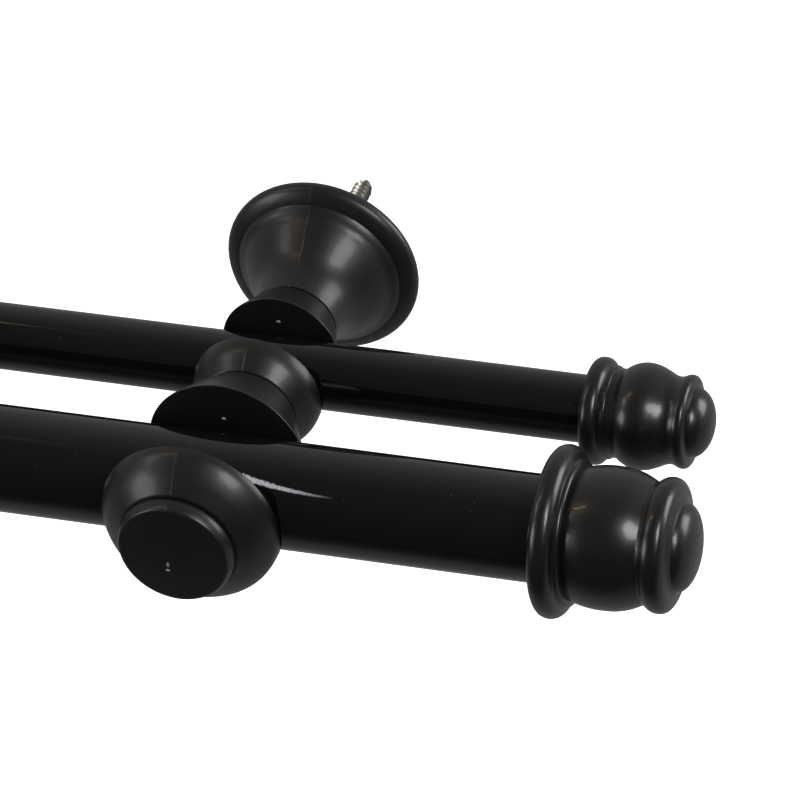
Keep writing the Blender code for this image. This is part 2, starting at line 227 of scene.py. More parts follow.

# %% [markdown]
# ## Stoved gloss lacquer
# The tubes are steel with a thick gloss lacquer baked on in an oven. It is nearly a black
# mirror, so the sky, the floor and the dark room show in it as bands along the tube. A very
# slight waviness, called orange peel, keeps those bands from being ruler-straight. Where the
# front rod leaves its right-hand cup, a bright ragged streak is painted into the lacquer's
# colour. It is a painted highlight that stands in for a gleam of light, and the roughness is
# raised there too. The streak runs round the rod quickly at first and then almost straight
# along it, and a fine noise breaks the painted highlight up into grains.

# %% Materials of the tubes
# Painted highlight: a near-white streak is mixed into the front rod's lacquer colour to stand in
# for a gleam of light.
STREAK_START, STREAK_END = 0.0115, 0.0340
PAINTED_HIGHLIGHT_STREAK = [
    ("parts", "ShaderNodeSeparateXYZ", {"Vector": "place"}),
    ("across", "SUBTRACT", {0: "parts.Y", 1: RODS["front"]["y"]}),
    ("outwards", "MULTIPLY", {0: "across", 1: -1.0}),
    ("angle", "ARCTAN2", {0: "outwards", 1: "parts.Z"}),
    ("share", RANGE, {"Value": "parts.X", "From Min": STREAK_START, "From Max": STREAK_END}),
    ("rest", "SUBTRACT", {0: 1.0, 1: "share"}),
    ("bend", "POWER", {0: "rest", 1: 2.0}),
    ("middle", "MULTIPLY_ADD", {0: "bend", 1: -0.185, 2: 0.800}),
    ("ragged", NOISE, {"Vector": "place", **blotches(0.55, 5.0, 0.75)}),
    ("torn", RANGE, {"Value": "ragged", "To Min": -0.1, "To Max": 2.0}),
    ("widest", RANGE, {"Value": "share", "To Min": 0.062, "To Max": 0.012}),
    ("width", "MULTIPLY", {0: "widest", 1: "torn"}),
    ("beside", "SUBTRACT", {0: "angle", 1: "middle"}),
    ("off", "ABSOLUTE", {0: "beside"}),
    ("margin", "SUBTRACT", {0: "width", 1: "off"}),
    ("inside", RANGE, {"Value": "margin", "From Min": -0.006, "From Max": 0.012}),
    ("begun", "GREATER_THAN", {0: "parts.X", 1: STREAK_START}),
    ("fade", RANGE,
     {"Value": "share", "From Min": 0.45, "From Max": 1.0, "To Min": 1.0, "To Max": 0.0}),
    ("pitted", NOISE, {"Vector": "place", **blotches(0.22, 3.0, 0.7)}),
    ("bare", RANGE,
     {"Value": "pitted", "From Min": 0.34, "From Max": 0.52, "To Min": 0.15, "To Max": 1.0}),
    ("started", "MULTIPLY", {0: "inside", 1: "begun"}),
    ("fading", "MULTIPLY", {0: "started", 1: "fade"}),
    ("worn", "MULTIPLY", {0: "fading", 1: "bare"}),
    ("rougher", RANGE, {"Value": "worn", "To Min": 0.0, "To Max": 0.35}),
    ("gloss", "ADD", {0: "gloss", 1: "rougher"}),
    # the painted highlight: near-white mixed into the lacquer colour
    ("colour", MIX, {"Factor": "worn", 6: "colour", 7: linear("#E8ECF4")}, RGBA),
]


def stoved_lacquer(name, highlight_rows):
    """Black gloss lacquer with orange peel and light wear in its roughness; the last argument is
    a table of more nodes, such as a painted highlight in its colour.
    """
    return new_material(name, [
        ("peel", NOISE, {"Vector": "place", **blotches(2.2, 1.0)}),
        ("cloudy", NOISE, {"Vector": "place", **blotches(14.0, 4.0)}),
        ("along", MAPPING, {"Vector": "place", "Scale": (0.06, 1.0, 1.0)}),
        ("wiped", NOISE, {"Vector": "along", **blotches(0.5, 5.0, 0.65)}),
        ("clouds", RANGE, {"Value": "cloudy", "To Min": 0.05, "To Max": 0.10}),
        ("wipes", RANGE, {"Value": "wiped", "To Min": -0.015, "To Max": 0.03}),
        ("gloss", "ADD", {0: "clouds", 1: "wipes"}),
        ("colour", MIX, {"Factor": "cloudy", 6: linear("#08080A"), 7: linear("#0E0E0E")}, RGBA),
        *highlight_rows,
        ("bump", BUMP, {"Height": "peel", "Strength": 0.05, "Distance": 0.00005}),
        ("shader", SHADER,
         {"Base Color": "colour", "Roughness": "gloss", "Normal": "bump", "IOR": 1.5}),
    ])


# The front rod's lacquer has the painted highlight streak mixed into its colour.
front_lacquer = stoved_lacquer("stoved_gloss_lacquer_rubbed", PAINTED_HIGHLIGHT_STREAK)
rear_lacquer = stoved_lacquer("stoved_gloss_lacquer", [])

# %% [markdown]
# ## Metal, nylon and dust
# The screws are steel with a thin zinc plating. Plating follows the drawn and rolled surface
# below it, so it looks streaky and a little yellow where it has been passivated. The plugs
# inside the tubes are milky natural nylon with flow marks from the mould. The same simple
# table, a colour that wanders between two tones, also makes the pale fluff that settles on the
# lacquer and the pale grey of the gate pips. That grey is partly black plastic that went white
# where it was bent until it broke, and partly a painted highlight for the light the pips catch.

# %% Materials of the small things
def mottled(name, tones, blotch_mm, detail, roughness, **inputs):
    """A colour that wanders between two tones, with a roughness that wanders along."""
    low, high = roughness
    return new_material(name, [
        ("patches", NOISE, {"Vector": "place", **blotches(blotch_mm, detail)}),
        ("tint", MIX, {"Factor": "patches", 6: linear(tones[0]), 7: linear(tones[1])}, RGBA),
        ("uneven", RANGE, {"Value": "patches", "To Min": low, "To Max": high}),
        ("shader", SHADER, {"Base Color": "tint", "Roughness": "uneven", **inputs}),
    ])


zinc = new_material("zinc_plated_rolled_steel", [
    ("patches", NOISE, {"Vector": "place", **blotches(1.1, 4.0)}),
    ("rolled", MAPPING, {"Vector": "place", "Scale": (3.0, 0.5, 3.0)}),
    ("streaks", NOISE, {"Vector": "rolled", **blotches(0.8, 4.0)}),
    ("tint", MIX, {"Factor": "patches", 6: linear("#D4D2CA"), 7: linear("#9D9A8C")}, RGBA),
    ("uneven", RANGE, {"Value": "streaks", "To Min": 0.26, "To Max": 0.46}),
    ("bump", BUMP, {"Height": "streaks", "Strength": 0.25, "Distance": 0.00003}),
    ("shader", SHADER,
     {"Base Color": "tint", "Roughness": "uneven", "Normal": "bump", "Metallic": 1.0}),
])
nylon = mottled(
    "natural_nylon_moulded", ("#A2A19D", "#B4B3AC"), 3.0, 3.0, (0.42, 0.58), IOR=1.53
)
dust = mottled("settled_house_dust", ("#6E6C68", "#9A9791"), 0.4, 2.0, (0.9, 0.9))
# Pale grey for the pips: partly stress whitening, partly a painted highlight.
pip_whitening_and_highlight = mottled("stress_whitened_styrene", ("#B4B4B2", "#77777A"), 0.5, 3.0, (0.55, 0.55))

# %% [markdown]
# ## Turned profiles
# Everything here is round, so a piece is drawn as half of its outline and turned about its
# axis, as on a lathe. A few points from a drawing are enough: a Catmull-Rom curve passes
# smoothly through them. Real mouldings also have creases, so an outline is a list of
# stretches. Each stretch is smooth inside, and a crease is left where two of them meet.

# %% Smooth an outline
def smooth_outline(stretches, step_mm=0.35):
    """Points (along, radius) in metres through stretches of (along, radius) in millimetres."""
    outline = []
    for stretch in stretches:
        points = [Vector(p) for p in stretch]
        if not outline or (outline[-1] - points[0]).length > 1e-6:
            outline.append(points[0])
        for i in range(len(points) - 1):
            one, two = points[i], points[i + 1]
            before = points[i - 1] if i else 2 * one - two
            after = points[i + 2] if i + 2 < len(points) else 2 * two - one
            pieces = max(1, math.ceil((two - one).length / step_mm)) if len(points) > 2 else 1
            knots = [0.0]
            for a, b in ((before, one), (one, two), (two, after)):
                knots.append(knots[-1] + max((b - a).length, 1e-4) ** 0.5)
            t0, t1, t2, t3 = knots
            for part in range(1, pieces + 1):
                t = t1 + (t2 - t1) * part / pieces
                a1 = before * (t1 - t) / (t1 - t0) + one * (t - t0) / (t1 - t0)
                a2 = one * (t2 - t) / (t2 - t1) + two * (t - t1) / (t2 - t1)
                a3 = two * (t3 - t) / (t3 - t2) + after * (t - t2) / (t3 - t2)
                b1 = a1 * (t2 - t) / (t2 - t0) + a2 * (t - t0) / (t2 - t0)
                b2 = a2 * (t3 - t) / (t3 - t1) + a3 * (t - t1) / (t3 - t1)
                outline.append(b1 * (t2 - t) / (t2 - t1) + b2 * (t - t1) / (t2 - t1))
    return [(p.x * MM, max(0.0, p.y) * MM) for p in outline]


# %% [markdown]
# ## The lathe
# The outline is copied round the axis in thin slices and joined with faces. A two-part mould
# leaves a hair of plastic, the parting line, where its halves meet: here along the top and the
# bottom of each bracket piece. It is made in the same pass. The slices are set closer together
# there, and the middle one stands a few hundredths of a millimetre proud.

# %% Turn an outline into a mesh
SLICES = 144
POLE = 1e-7              # an outline point this near the axis is on it
SEAM_HALF_ANGLE = 0.012
SEAM_HEIGHT = 0.00007


def even_slices(count):
    """Evenly spaced angles round an axis, each with how far it stands out, which is nothing."""
    return [(2 * math.pi * k / count, 0.0) for k in range(count)]


def slice_angles(seam):
    """Angles round the axis, from the top towards +X, with three close together at a seam."""
    angles = {round(2 * math.pi * k / SLICES, 9): 0.0 for k in range(SLICES)}
    if seam:
        for middle in (0.0, math.pi):
            for side in (-1, 1):
                angles[round((middle + side * SEAM_HALF_ANGLE) % (2 * math.pi), 9)] = 0.0
            angles[round(middle, 9)] = SEAM_HEIGHT
    return sorted(angles.items())


def finish_mesh(name, points, faces, material, body, nodes, crease=35.0):
    """Makes the object, turns its faces outwards, and declares what it rides on and replaces."""
    mesh = bpy.data.meshes.new(name)
    mesh.from_pydata([tuple(p) for p in points], [], faces)
    mesh.validate()
    mesh.materials.append(material)
    piece = put_in_scene(name, mesh)
    face_outwards(mesh, crease)
    declare(piece, body, nodes)
    return piece


def face_outwards(mesh, crease=35.0):
    """Merges doubles, points every face outwards, and shades smoothly up to the creases."""
    shape = bmesh.new()
    shape.from_mesh(mesh)
    bmesh.ops.remove_doubles(shape, verts=shape.verts, dist=1e-7)
    bmesh.ops.dissolve_degenerate(shape, edges=shape.edges, dist=1e-8)
    bmesh.ops.recalc_face_normals(shape, faces=shape.faces)
    shape.to_mesh(mesh)
    shape.free()
    for face in mesh.polygons:
        face.use_smooth = True
    mesh.set_sharp_from_angle(angle=math.radians(crease))


def declare(piece, body, nodes):
    """Tells the frame what the piece rides on and which nodes it stands for."""
    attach(piece, body)
    for node in nodes:
        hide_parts(node)
    print(f"{piece.name}: {len(piece.data.polygons)} faces on {body}")


def across_bracket(x, along, radius, angle):
    """A point on a bracket: along is the distance from the wall."""
    return (x + radius * math.sin(angle), -along, radius * math.cos(angle))


def turn_on_lathe(outline, angles, place):
    """Points and faces of an outline from pole to pole, turned round an axis."""
    points, rings, faces = [], [], []
    for along, radius in outline:
        if radius < POLE:
            rings.append([len(points)])
            points.append(place(along, 0.0, 0.0))
            continue
        rings.append(list(range(len(points), len(points) + len(angles))))
        points.extend(place(along, radius + lift, angle) for angle, lift in angles)
    for one, two in zip(rings[:-1], rings[1:]):
        for k in range(len(angles)):
            n = (k + 1) % len(angles)
            if len(one) == 1:
                faces.append((one[0], two[k], two[n]))
            elif len(two) == 1:
                faces.append((one[k], two[0], one[n]))
            else:
                faces.append((one[k], two[k], two[n], one[n]))
    return points, faces


# %% [markdown]
# ## The base
# The base is a round foot that hides the fixing. From the wall outwards it has a fat bead, a
# hollow, a thin raised ring, and a trumpet that narrows to the neck. Its back is bored for the
# threaded bush, and its neck for the stud that holds the first cup, so the outline starts and
# ends on the axis inside those holes.

# %% Turn the two bases
BASE = [
    [(15.6, 0.0), (15.6, 2.8)],
    [(15.6, 2.8), (12.6, 2.8)],
    [(12.6, 2.8), (12.6, 5.1)],
    [(12.6, 5.1), (0.0, 5.1)],
    [(0.0, 5.1), (0.0, 22.9)],
    [(0.0, 22.9), (0.25, 23.35), (0.9, 23.75), (2.0, 23.9), (2.9, 23.6), (3.56, 23.0),
     (4.15, 22.1), (4.65, 21.1), (5.0, 20.15)],
    [(5.0, 20.15), (5.35, 19.9), (5.9, 19.4), (6.5, 18.75)],
    [(6.5, 18.75), (7.2, 18.15), (8.6, 17.25), (10.5, 15.95), (12.6, 14.4), (14.8, 12.9),
     (17.2, 11.75), (20.0, 10.98), (22.8, 10.58), (23.9, 10.5)],
    [(23.9, 10.5), (24.15, 10.42), (24.3, 10.2)],
    [(24.3, 10.2), (24.3, 2.8)],
    [(24.3, 2.8), (18.6, 2.8)],
    [(18.6, 2.8), (18.6, 0.0)],
]
BUTTON = [
    [(110.95, 0.0), (110.95, 2.8)],
    [(110.95, 2.8), (108.95, 2.8)],
    [(108.95, 2.8), (108.95, 13.35)],
    [(108.95, 13.35), (109.1, 13.6), (109.6, 13.8), (110.6, 13.8), (111.6, 13.5),
     (112.3, 13.15)],
    [(112.3, 13.15), (112.5, 13.0), (112.62, 12.75), (112.7, 12.4)],
    [(112.7, 12.4), (113.0, 8.5), (113.2, 4.0), (113.25, 0.0)],
]
bracket_angles = slice_angles(seam=True)

for side, x in BRACKET_X.items():
    for piece_name, stretches, node in (
        ("turned_base", BASE, "base"),
        ("end_button_cap", BUTTON, "end_button"),
    ):
        points, faces = turn_on_lathe(
            smooth_outline(stretches),
            bracket_angles,
            lambda along, radius, angle, x=x: across_bracket(x, along, radius, angle),
        )
        finish_mesh(
            f"{side}_{piece_name}", points, faces, satin_moulding, "brackets",
            [f"{side}_{node}"],
        )

# %% [markdown]
# ## The cups
# A cup is a turned barrel with a U-shaped slot across it for the rod. The usual way is a
# Boolean, but that leaves long thin faces at the rim, where the shine shows every fault. The
# slot follows a simple rule, so its faces are laid out directly: the barrel's slices stop at
# the slot's outline, a narrow rounded lip turns the corner, and flat walls and a half-round
# floor close the slot. Every edge meets its neighbour exactly, so no Boolean is needed.

# %% Lay out a slotted barrel
LIP = 0.00028                  # the rounded edge of the slot
FLOOR_STEPS = 48
WALL_SHARES = (1.0, 0.66, 0.33)


class Shape:
    """Points and faces that are collected as they are laid out."""

    def __init__(self):
        self.points, self.faces = [], []

    def add(self, point):
        self.points.append(Vector(point))
        return len(self.points) - 1

    def strip(self, one, two, closed=False):
        """Faces between two rows with the same number of points."""
        count = len(one)
        for k in range(count if closed else count - 1):
            n = (k + 1) % count
            corners = [one[k], two[k], two[n], one[n]]
            corners = [c for i, c in enumerate(corners) if c not in corners[:i]]
            if len(corners) > 2:
                self.faces.append(tuple(corners))


def radius_at(outline, along):
    """The outer radius of an outline at a distance from the wall."""
    for (a, ra), (b, rb) in zip(outline[:-1], outline[1:]):
        if a <= along <= b and b > a:
            return ra + (rb - ra) * (along - a) / (b - a)
    return outline[-1][1]


# %% The slotted barrel itself
def slotted_barrel(x, socket, outer, end, slot_along, half):
    """A turned barrel with a U slot. socket and end are corners, outer is the smooth side."""
    shape = Shape()
    angles = slice_angles(seam=True)
    count = len(angles)
    quarter = math.pi / 2
    right = min(range(count), key=lambda k: abs(angles[k][0] - quarter))
    left = min(range(count), key=lambda k: abs(angles[k][0] - 3 * quarter))
    lower = list(range(right, left + 1))
    upper = [k % count for k in range(left, right + count + 1)]

    def ring(along, radius):
        if radius < POLE:
            return [shape.add(across_bracket(x, along, 0.0, 0.0))] * count
        return [shape.add(across_bracket(x, along, radius + lift, a)) for a, lift in angles]

    near, far = slot_along - half - LIP, slot_along + half + LIP
    before = [p for p in outer if p[0] < near - 1e-5] + [(near, radius_at(outer, near))]
    after = [(far, radius_at(outer, far))] + [p for p in outer if p[0] > far + 1e-5]
    first = [ring(*p) for p in socket + before]
    last = [ring(*p) for p in after + end]
    for rings in (first, last):
        for one, two in zip(rings[:-1], rings[1:]):
            shape.strip(one, two, closed=True)

    # The barrel beside the slot: rows that shrink to what the slot leaves.
    near_ring, far_ring = first[-1], last[0]
    rows = [[near_ring[k] for k in lower]]
    reach = half + LIP
    for step in range(1, FLOOR_STEPS):
        t = math.pi * step / FLOOR_STEPS
        along = slot_along - reach * math.cos(t)
        radius = radius_at(outer, along)
        open_angle = math.acos(-reach * math.sin(t) / radius)
        row = []
        for k in lower:
            share = (angles[k][0] - quarter) / math.pi
            angle = open_angle + share * 2 * (math.pi - open_angle)
            row.append(shape.add(across_bracket(x, along, radius + angles[k][1], angle)))
        rows.append(row)
    rows.append([far_ring[k] for k in lower])
    for one, two in zip(rows[:-1], rows[1:]):
        shape.strip(one, two)

    # The lip: an outer loop on the barrel, the true corner, and an inner loop in the slot.
    def corner(along, z, side):
        radius = radius_at(outer, along)
        return Vector((x + side * math.sqrt(max(0.0, radius * radius - z * z)), -along, z))

    outer_loop, corners, inner = [], [], []

    def lip_point(index, at, inward):
        outer_loop.append(index)
        corners.append(at)
        inner.append(at + LIP * inward)

    def floor_side(side, steps):
        for step in steps:
            t = math.pi * step / FLOOR_STEPS
            at = corner(slot_along - half * math.cos(t), -half * math.sin(t), side)
            lip_point(rows[step][0 if side > 0 else -1], at, Vector((-side, 0.0, 0.0)))

    def wall_rim(ring_points, along, columns):
        for k in columns:
            angle = angles[k][0]
            at = Vector(across_bracket(x, along, radius_at(outer, along), angle))
            lip_point(ring_points[k], at, Vector((-math.sin(angle), 0.0, -math.cos(angle))))

    floor_side(1, range(0, FLOOR_STEPS))
    wall_rim(far_ring, slot_along + half, list(reversed(upper))[:-1])
    floor_side(-1, range(FLOOR_STEPS, 0, -1))
    wall_rim(near_ring, slot_along - half, upper[:-1])
    loops = [outer_loop]
    for share in (0.25, 0.5, 0.75):
        loop = []
        for index, at, inside in zip(outer_loop, corners, inner):
            one = shape.points[index] * (1 - share) ** 2
            loop.append(shape.add(one + at * 2 * share * (1 - share) + inside * share**2))
        loops.append(loop)
    inner_loop = [shape.add(p) for p in inner]
    loops.append(inner_loop)
    for one, two in zip(loops[:-1], loops[1:]):
        shape.strip(one, two, closed=True)

    # The slot's walls and its half-round floor share their edges with the inner loop.
    rim = len(upper)
    right_floor = inner_loop[:FLOOR_STEPS]
    far_rim = inner_loop[FLOOR_STEPS : FLOOR_STEPS + rim - 1]
    left_start = FLOOR_STEPS + rim - 1
    left_floor = inner_loop[left_start : left_start + FLOOR_STEPS]
    near_rim = inner_loop[left_start + FLOOR_STEPS :]
    far_rim = far_rim + [left_floor[0]]
    near_rim = near_rim + [right_floor[0]]
    seam_column = upper.index(0)

    def wall(rim_points, along, into_slot):
        middle = shape.add((x, -along, 0.0))
        rings = [rim_points]
        for share in WALL_SHARES[1:]:
            row = []
            for number, index in enumerate(rim_points):
                point = Vector((x, -along, 0.0)).lerp(shape.points[index], share)
                at_seam = number in (seam_column, rim - 1 - seam_column)
                point.y += into_slot * SEAM_HEIGHT if at_seam else 0.0
                row.append(shape.add(point))
            rings.append(row)
        for one, two in zip(rings[:-1], rings[1:]):
            shape.strip(one, two)
        shape.strip(rings[-1], [middle] * rim)
        return rings, middle

    far_rings, far_middle = wall(far_rim, slot_along + half, 1.0)
    near_rings, near_middle = wall(near_rim, slot_along - half, -1.0)

    def floor_row(rings, middle, first_side, last_side):
        """From the right end of a wall's foot to its left end."""
        return [r[first_side] for r in rings] + [middle] + [r[last_side] for r in reversed(rings)]

    near_row = floor_row(near_rings, near_middle, -1, 0)
    far_row = floor_row(far_rings, far_middle, 0, -1)
    previous = near_row
    left_floor = list(reversed(left_floor))
    for step in range(1, FLOOR_STEPS):
        t = math.pi * step / FLOOR_STEPS
        along = slot_along - half * math.cos(t)
        z = -half * math.sin(t)
        one, two = right_floor[step], left_floor[step - 1]
        span = shape.points[one].x - x
        row = [one]
        row += [shape.add((x + span * s, -along, z)) for s in WALL_SHARES[1:]]
        row.append(shape.add((x, -along, z)))
        row += [shape.add((x - span * s, -along, z)) for s in reversed(WALL_SHARES[1:])]
        row.append(two)
        shape.strip(previous, row)
        previous = row
    shape.strip(previous, far_row)
    return shape.points, shape.faces


# %% [markdown]
# The rear cup and the front cup are the same idea in two sizes: a flare from the neck, a nearly
# straight barrel around the rod, and a dome that pulls in to a crease. The slot's place and
# width come from the rod it holds, plus the clearance that lets the rod lie loosely in it.

# %% Make the four cups
SLOT_CLEARANCE = 0.35 * MM
CUPS = {
    "rear": {
        "socket": [(30.6, 0.0), (30.6, 2.8), (24.6, 2.8)],
        "outer": [
            [(24.6, 10.15), (24.72, 10.4), (25.0, 10.6), (26.5, 11.2), (29.0, 12.2), (32.0, 13.4),
             (34.6, 14.35), (38.0, 14.75), (43.0, 15.05), (51.4, 15.55), (53.2, 15.35),
             (55.0, 14.7), (57.0, 13.4), (58.4, 12.35), (58.95, 11.95)],
            [(58.95, 11.95), (59.1, 11.8), (59.15, 11.55)],
        ],
        "end": [(59.15, 2.8), (55.25, 2.8), (55.25, 0.0)],
    },
    "front": {
        "socket": [(65.45, 0.0), (65.45, 2.8), (59.45, 2.8)],
        "outer": [
            [(59.45, 11.55), (59.55, 11.85), (59.9, 12.1), (61.5, 12.9), (64.5, 14.4),
             (68.0, 16.2), (71.5, 17.9), (74.2, 19.0), (79.0, 20.0), (87.0, 21.0), (95.0, 21.4),
             (99.9, 21.3), (101.6, 20.9), (103.5, 19.7), (105.5, 17.9), (107.2, 15.9),
             (108.3, 14.5)],
            [(108.3, 14.5), (108.5, 14.25), (108.65, 13.9)],
        ],
        "end": [(108.65, 2.8), (103.37, 2.8), (103.37, 0.0)],
    },
}

for side, x in BRACKET_X.items():
    for row, cup in CUPS.items():
        points, faces = slotted_barrel(
            x,
            [(a * MM, r * MM) for a, r in cup["socket"]],
            smooth_outline(cup["outer"]),
            [(a * MM, r * MM) for a, r in cup["end"]],
            -RODS[row]["y"],
            RODS[row]["radius"] + SLOT_CLEARANCE,
        )
        finish_mesh(
            f"{side}_{row}_cup", points, faces, satin_moulding, "brackets",
            [f"{side}_{row}_holder"],
        )

# %% [markdown]
# ## The rods
# A rod is a thin steel tube. Its ends are cut square and then deburred, so the outline of its
# wall has a tiny rounding at each corner. The outline is a closed loop that never touches the
# axis, so it is turned without poles and the tube stays open for the plugs.

# %% Turn the two tubes
def turn_loop(outline, angles, place):
    """A closed outline turned round an axis, which makes a ring or a tube."""
    points, faces = [], []
    for along, radius in outline:
        points.extend(place(along, radius, angle) for angle, _ in angles)
    rows, count = len(outline), len(angles)
    for r in range(rows):
        s = (r + 1) % rows
        for k in range(count):
            n = (k + 1) % count
            faces.append((r * count + k, s * count + k, s * count + n, r * count + n))
    return points, faces


def along_rod(y, along, radius, angle):
    """A point on a rod or a finial, whose axis runs along X at y."""
    return (along, y + radius * math.sin(angle), radius * math.cos(angle))


plain_angles = slice_angles(seam=False)
ROD_WALL = {"front": 1.0 * MM, "rear": 0.8 * MM}
DEBURR = 0.00015
SPANS = 24
for row, lacquer in (("front", front_lacquer), ("rear", rear_lacquer)):
    rod = RODS[row]
    outside, inside = rod["radius"], rod["radius"] - ROD_WALL[row]
    left, right = rod["left"], rod["right"]
    spans = [left + (right - left) * k / SPANS for k in range(1, SPANS)]
    loop = [(left, inside + DEBURR), (left, outside - DEBURR), (left + DEBURR, outside)]
    loop += [(s, outside) for s in spans]
    loop += [(right - DEBURR, outside), (right, outside - DEBURR), (right, inside + DEBURR)]
    loop += [(right - DEBURR, inside)]
    loop += [(s, inside) for s in reversed(spans)]
    loop += [(left + DEBURR, inside)]
    points, faces = turn_loop(
        loop,
        plain_angles,
        lambda along, radius, angle, y=rod["y"]: along_rod(y, along, radius, angle),
    )
    finish_mesh(
        f"{row}_rod_lacquered", points, faces, lacquer, f"{row}_rod",
        [f"{row}_rod_tube"],
    )

# %% [markdown]
# ## The finials
# A finial closes the end of a rod and keeps the curtain rings on. Both sizes have the same
# parts in the same order: a fat bead against the tube, a small step, a ball, a groove, a ring
# and a button. The large one has sharp V grooves and an arched ring. The small one is softer,
# with a plain collar behind the ball and a taller button.

# %% Turn the four finials
FINIALS = {
    "front": [
        [(10.3, 0.0), (10.3, 8.3)],
        [(10.3, 8.3), (0.0, 8.3)],
        [(0.0, 8.3), (0.0, 17.4)],
        [(0.0, 17.4), (0.3, 18.4), (1.2, 19.45), (2.8, 19.9), (4.4, 19.5), (5.3, 18.6),
         (5.75, 17.5)],
        [(5.75, 17.5), (5.95, 17.05), (6.5, 16.95), (6.95, 16.6), (7.2, 15.9), (7.35, 15.3)],
        [(7.35, 15.3), (9.3, 15.85), (12.0, 16.33), (15.2, 16.45), (18.3, 16.2), (20.9, 15.5),
         (22.9, 14.6), (24.1, 13.95)],
        [(24.1, 13.95), (24.9, 14.35), (26.0, 15.15), (27.1, 15.5), (28.2, 15.5), (29.3, 15.1),
         (30.1, 14.2), (30.5, 13.2)],
        [(30.5, 13.2), (30.7, 12.2), (30.95, 11.2), (31.4, 10.35)],
        [(31.4, 10.35), (32.1, 10.05), (33.3, 9.0), (34.4, 7.0), (35.1, 4.3), (35.36, 1.9),
         (35.4, 0.0)],
    ],
    "rear": [
        [(10.3, 0.0), (10.3, 5.3)],
        [(10.3, 5.3), (0.0, 5.3)],
        [(0.0, 5.3), (0.0, 10.9)],
        [(0.0, 10.9), (0.25, 11.6), (1.05, 12.35), (2.3, 12.6), (3.55, 12.3), (4.3, 11.6),
         (4.7, 10.9)],
        [(4.7, 10.9), (5.0, 10.85), (5.4, 10.95), (5.8, 10.85), (6.0, 10.5)],
        [(6.0, 10.5), (7.6, 10.4)],
        [(7.6, 10.4), (9.2, 11.5), (11.0, 12.25), (13.0, 12.5), (15.2, 12.2), (17.4, 11.35),
         (19.2, 10.5), (20.5, 10.2), (21.7, 10.45), (22.6, 10.85), (23.2, 10.95), (24.0, 10.8),
         (24.5, 10.3)],
        [(24.5, 10.3), (24.7, 9.4), (25.0, 8.25)],
        [(25.0, 8.25), (25.8, 8.0), (27.2, 7.0), (28.4, 5.3), (29.2, 3.0), (29.5, 0.0)],
    ],
}
END_GAP = 0.3 * MM


def out_from_end(row, side):
    """A function that places a turned point outwards from one end of a rod."""
    rod = RODS[row]
    out = 1.0 if side == "right" else -1.0

    def place(along, radius, angle):
        return along_rod(rod["y"], rod[side] + out * along, radius, angle)

    return place


for row, stretches in FINIALS.items():
    for side in ("right", "left"):
        outline = [(a + END_GAP, r) for a, r in smooth_outline(stretches)]
        points, faces = turn_on_lathe(outline, plain_angles, out_from_end(row, side))
        finish_mesh(
            f"{row}_{side}_finial_turned", points, faces, gloss_moulding,
            f"{row}_finial_{side}", [f"{row}_finial_{side}"],
        )

# %% [markdown]
# ## Geometry Nodes for screws
# A thread is a small ridge that climbs round a core at a steady pitch. That is a rule, so it is
# a job for Geometry Nodes. A straight line of points is bent into a helix by a formula, a
# flat diamond is swept along it, and the height of the ridge fades out at both ends. The same
# tree makes the coarse wood thread and the fine machine thread, only with other numbers.

# %% Helpers for geometry trees
NUMBER, COUNT = "NodeSocketFloat", "NodeSocketInt"
PLACE, MATERIAL = "NodeSocketVector", "NodeSocketMaterial"


def geometry_tree(name, inputs, rows, keep):
    """A tree with named inputs. rows end with made, which joins the old mesh if it is kept."""
    tree = bpy.data.node_groups.new(name, "GeometryNodeTree")
    tree.interface.new_socket("Geometry", in_out="INPUT", socket_type="NodeSocketGeometry")
    for label, (kind, value) in {**inputs, "Material": (MATERIAL, None)}.items():
        socket = tree.interface.new_socket(label, in_out="INPUT", socket_type=kind)
        if value is not None:
            socket.default_value = value
    tree.interface.new_socket("Geometry", in_out="OUTPUT", socket_type="NodeSocketGeometry")
    given = {socket.name: socket for socket in add_node(tree, "NodeGroupInput").outputs}
    made = add_table(tree, rows, dict(given))["made"]
    if keep:
        joined = add_node(tree, "GeometryNodeJoinGeometry", {0: given["Geometry"]})
        tree.links.new(made.outputs[0], joined.inputs[0])
        made = joined
    add_table(tree, [
        ("real", "GeometryNodeRealizeInstances", {"Geometry": made}),
        ("done", "GeometryNodeSetMaterial", {"Geometry": "real", "Material": "Material"}),
        ("output", "NodeGroupOutput", {0: "done"}),
    ], given)
    print(name, "has", len(tree.nodes), "nodes")
    return tree


def run_tree(tree, name, mesh, values):
    """Runs the tree on a mesh and gives back the plain mesh that it makes."""
    helper = put_in_scene(name + "_helper", mesh)
    modifier = helper.modifiers.new("rule", "NODES")
    modifier.node_group = tree
    for item in tree.interface.items_tree:
        if item.item_type == "SOCKET" and item.in_out == "INPUT" and item.name in values:
            modifier[item.identifier] = values[item.name]
    graph = bpy.context.evaluated_depsgraph_get()
    made = bpy.data.meshes.new_from_object(helper.evaluated_get(graph))
    bpy.data.objects.remove(helper, do_unlink=True)
    made.name = name
    return made


